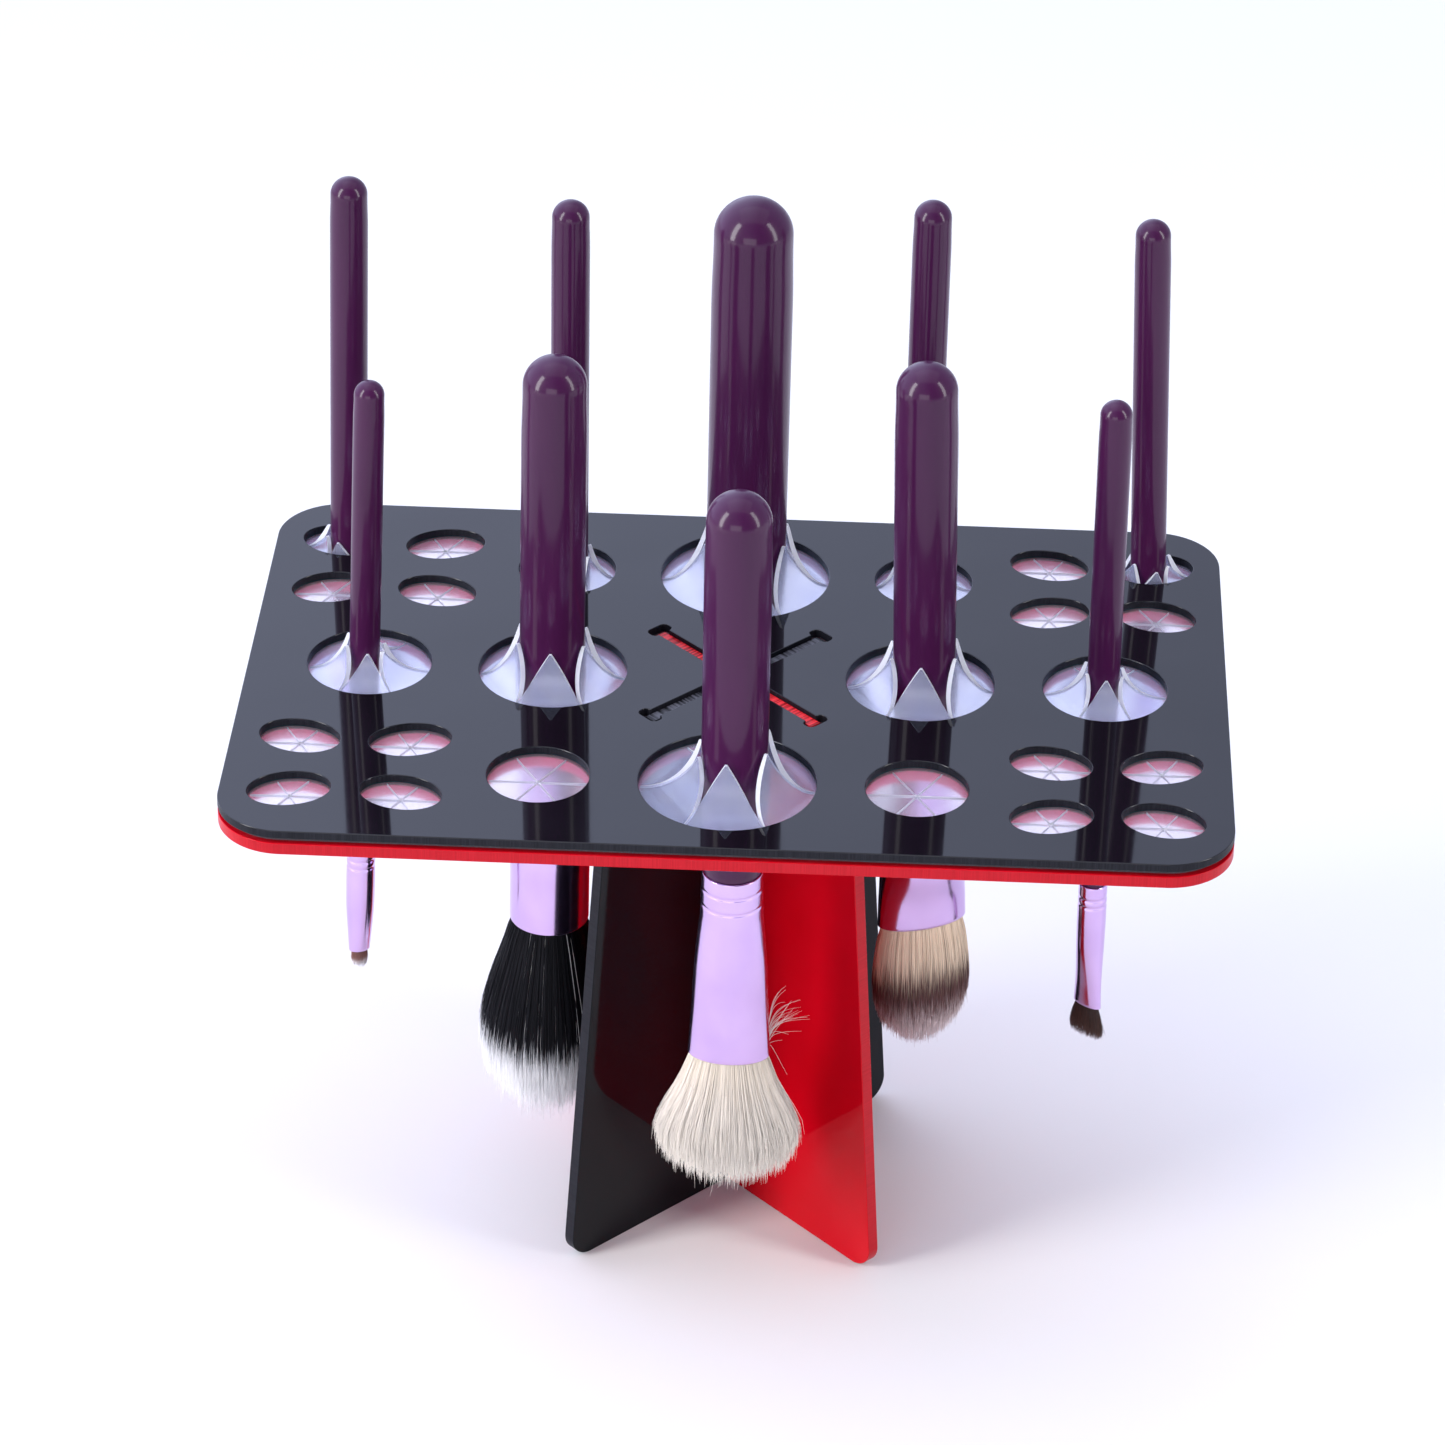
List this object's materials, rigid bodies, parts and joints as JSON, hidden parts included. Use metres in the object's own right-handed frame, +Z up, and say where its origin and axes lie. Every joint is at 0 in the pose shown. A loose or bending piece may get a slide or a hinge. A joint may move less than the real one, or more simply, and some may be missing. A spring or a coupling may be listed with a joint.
{
  "type": "brush drying rack",
  "caption": "Free-standing rack: a slotted two-plate deck with slit silicone holes on crossed leg panels, holding brushes head down to dry.",
  "frame": {"origin": "on the floor under the middle of the deck", "axes": "+X to the right along the deck's long side, +Y to the back, +Z up"},
  "size_m": [0.22, 0.142, 0.2366],
  "materials": {
    "black_acrylic": "polished acrylic sheet, mirror gloss on its faces, satin laser-cut edges",
    "red_acrylic": "polished translucent red acrylic, bright satin edges",
    "silicone": "frosted translucent silicone sheet",
    "plum_lacquer": "deep plum gloss lacquer over wood",
    "lilac_metal": "lilac anodised aluminium tube, polished",
    "cream_hair": "fine cream hair, tips paler",
    "duo_fibre_hair": "black hair with white fibre tips",
    "tan_tipped_fibre": "tan fibre with a dark brown band and white tips",
    "brown_hair": "short stiff dark brown hair"
  },
  "bodies": {
    "stand": {"black_leg": "black_acrylic", "red_leg": "red_acrylic"},
    "deck": {"black_plate": "black_acrylic", "silicone_sheet": "silicone", "red_plate": "red_acrylic"},
    "blush_brush": {"blush_handle": "plum_lacquer", "blush_ferrule": "lilac_metal", "blush_bristles": "cream_hair"},
    "stippling_brush": {"stippling_handle": "plum_lacquer", "stippling_ferrule": "lilac_metal", "stippling_bristles": "duo_fibre_hair"},
    "foundation_brush": {"foundation_handle": "plum_lacquer", "foundation_ferrule": "lilac_metal", "foundation_bristles": "tan_tipped_fibre"},
    "liner_brush": {"liner_handle": "plum_lacquer", "liner_ferrule": "lilac_metal", "liner_bristles": "brown_hair"},
    "smudge_brush": {"smudge_handle": "plum_lacquer", "smudge_ferrule": "lilac_metal", "smudge_bristles": "brown_hair"},
    "powder_brush": {"powder_handle": "plum_lacquer", "powder_ferrule": "lilac_metal", "powder_bristles": "duo_fibre_hair"},
    "blending_brush": {"blending_handle": "plum_lacquer", "blending_ferrule": "lilac_metal", "blending_bristles": "cream_hair"},
    "shader_brush": {"shader_handle": "plum_lacquer", "shader_ferrule": "lilac_metal", "shader_bristles": "tan_tipped_fibre"},
    "crease_brush": {"crease_handle": "plum_lacquer", "crease_ferrule": "lilac_metal", "crease_bristles": "cream_hair"},
    "pencil_brush": {"pencil_handle": "plum_lacquer", "pencil_ferrule": "lilac_metal", "pencil_bristles": "brown_hair"}
  },
  "joints": [
    {"name": "deck_lift", "type": "slide", "parent": "stand", "child": "deck", "axis": [0, 0, 1], "range_m": [0, 0.02]},
    {"name": "blush_slide", "type": "slide", "parent": "deck", "child": "blush_brush", "axis": [0.0017, 0, 1], "range_m": [-0.029, 0.018]},
    {"name": "stippling_slide", "type": "slide", "parent": "deck", "child": "stippling_brush", "axis": [0.0122, 0, 0.9999], "range_m": [-0.017, 0.02]},
    {"name": "foundation_slide", "type": "slide", "parent": "deck", "child": "foundation_brush", "axis": [-0.0244, 0, 0.9997], "range_m": [-0.04, 0.017]},
    {"name": "liner_slide", "type": "slide", "parent": "deck", "child": "liner_brush", "axis": [0.0366, 0, 0.9993], "range_m": [-0.053, 0.044]},
    {"name": "smudge_slide", "type": "slide", "parent": "deck", "child": "smudge_brush", "axis": [-0.0087, 0, 1], "range_m": [-0.043, 0.047]},
    {"name": "powder_slide", "type": "slide", "parent": "deck", "child": "powder_brush", "axis": [0.0052, 0, 1], "range_m": [-0.063, 0.009]},
    {"name": "blending_slide", "type": "slide", "parent": "deck", "child": "blending_brush", "axis": [0.0227, 0, 0.9997], "range_m": [-0.065, 0.021]},
    {"name": "shader_slide", "type": "slide", "parent": "deck", "child": "shader_brush", "axis": [0.0052, 0, 1], "range_m": [-0.071, 0.02]},
    {"name": "crease_slide", "type": "slide", "parent": "deck", "child": "crease_brush", "axis": [0.0017, 0, 1], "range_m": [-0.069, 0.021]},
    {"name": "pencil_slide", "type": "slide", "parent": "deck", "child": "pencil_brush", "axis": [-0.0419, 0, 0.9991], "range_m": [-0.071, 0.023]}
  ]
}
